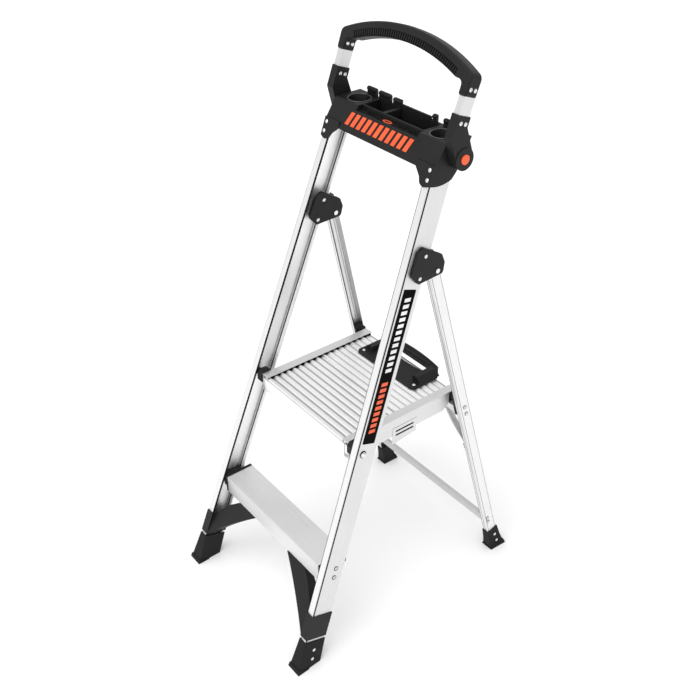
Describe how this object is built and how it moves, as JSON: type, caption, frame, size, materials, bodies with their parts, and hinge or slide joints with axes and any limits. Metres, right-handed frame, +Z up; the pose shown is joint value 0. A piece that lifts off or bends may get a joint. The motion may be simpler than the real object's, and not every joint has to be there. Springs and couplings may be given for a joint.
{
  "type": "step ladder",
  "caption": "Folding two-step platform ladder with a flared rail frame, ribbed standing platform, moulded tool tray and a fold-down grab handle.",
  "frame": {"origin": "on the ground, at the middle of the open ladder's bounding box", "axes": "+Z up, +X to the climber's right, +Y from the climbing side to the rear legs"},
  "size_m": [0.523, 0.7422, 1.455],
  "materials": {
    "aluminium": "satin extruded",
    "black_plastic": "fine moulded grain",
    "rubber": "matte",
    "steel": "zinc plated",
    "orange_plastic": "satin",
    "vinyl": "smooth",
    "nylon": "smooth"
  },
  "bodies": {
    "front_frame": {"front_rail_right": "aluminium", "front_rail_left": "aluminium", "tread_end_cap_right": "black_plastic", "tread_end_cap_left": "black_plastic", "foot_brace_right": "black_plastic", "foot_brace_left": "black_plastic", "front_foot_right": "rubber", "front_foot_left": "rubber", "hinge_bracket_outer_right": "black_plastic", "hinge_bracket_outer_left": "black_plastic", "hinge_bracket_inner_right": "black_plastic", "hinge_bracket_inner_left": "black_plastic", "rear_pivot_pin_right": "steel", "rear_pivot_pin_left": "steel", "rail_label_right": "vinyl", "rail_label_left": "vinyl", "platform_pivot_bolt_right": "steel", "platform_pivot_bolt_left": "steel", "platform_pivot_spacer_right": "nylon", "platform_pivot_spacer_left": "nylon", "handle_pivot_pin_right": "steel", "handle_pivot_pin_left": "steel", "tread": "aluminium", "tool_tray": "black_plastic", "tray_front_strip": "orange_plastic", "tray_badge": "orange_plastic", "front_frame_rivets": "steel"},
    "rear_frame": {"rear_rail_right": "aluminium", "rear_rail_left": "aluminium", "rear_pivot_bush_right": "nylon", "rear_pivot_bush_left": "nylon", "rear_support_bracket_right": "black_plastic", "rear_support_bracket_left": "black_plastic", "knee_brace_right": "aluminium", "knee_brace_left": "aluminium", "rear_foot_right": "rubber", "rear_foot_left": "rubber", "rear_upper_crossbar": "aluminium", "rear_lower_crossbar": "aluminium", "rear_frame_rivets": "steel"},
    "platform": {"platform_deck_front": "aluminium", "platform_deck_rear": "aluminium", "platform_side_right": "aluminium", "platform_side_left": "aluminium", "platform_pivot_block_right": "black_plastic", "platform_pivot_block_left": "black_plastic", "platform_hook_right": "black_plastic", "platform_hook_left": "black_plastic", "platform_grab_handle": "black_plastic", "platform_side_plate": "aluminium", "grab_handle_rivets": "steel"},
    "handle": {"handle_grip": "black_plastic", "handle_socket_right": "black_plastic", "handle_socket_left": "black_plastic", "handle_post_right": "aluminium", "handle_post_left": "aluminium", "handle_rivets": "steel"},
    "button_right": {"release_button_right": "orange_plastic"},
    "button_left": {"release_button_left": "orange_plastic"}
  },
  "joints": [
    {"name": "rear_frame_fold", "type": "hinge", "parent": "front_frame", "child": "rear_frame", "pos_m": [0, 0.08596, 0.9782], "axis": [-1, 0, 0], "range_deg": [0, 34.7]},
    {"name": "platform_fold", "type": "hinge", "parent": "front_frame", "child": "platform", "pos_m": [0, -0.13474, 0.572], "axis": [1, 0, 0], "range_deg": [0, 70]},
    {"name": "handle_fold", "type": "hinge", "parent": "front_frame", "child": "handle", "pos_m": [0, 0.13827, 1.22978], "axis": [-1, 0, 0], "range_deg": [0, 168]},
    {"name": "right_button_press", "type": "slide", "parent": "handle", "child": "button_right", "axis": [-1, 0, 0], "range_m": [0, 0.004], "stiffness_N_per_m": 600},
    {"name": "left_button_press", "type": "slide", "parent": "handle", "child": "button_left", "axis": [1, 0, 0], "range_m": [0, 0.004], "stiffness_N_per_m": 600}
  ],
  "couplings": [
    {"joint": "platform_fold", "follows": "rear_frame_fold", "ratio": 2.017}
  ]
}
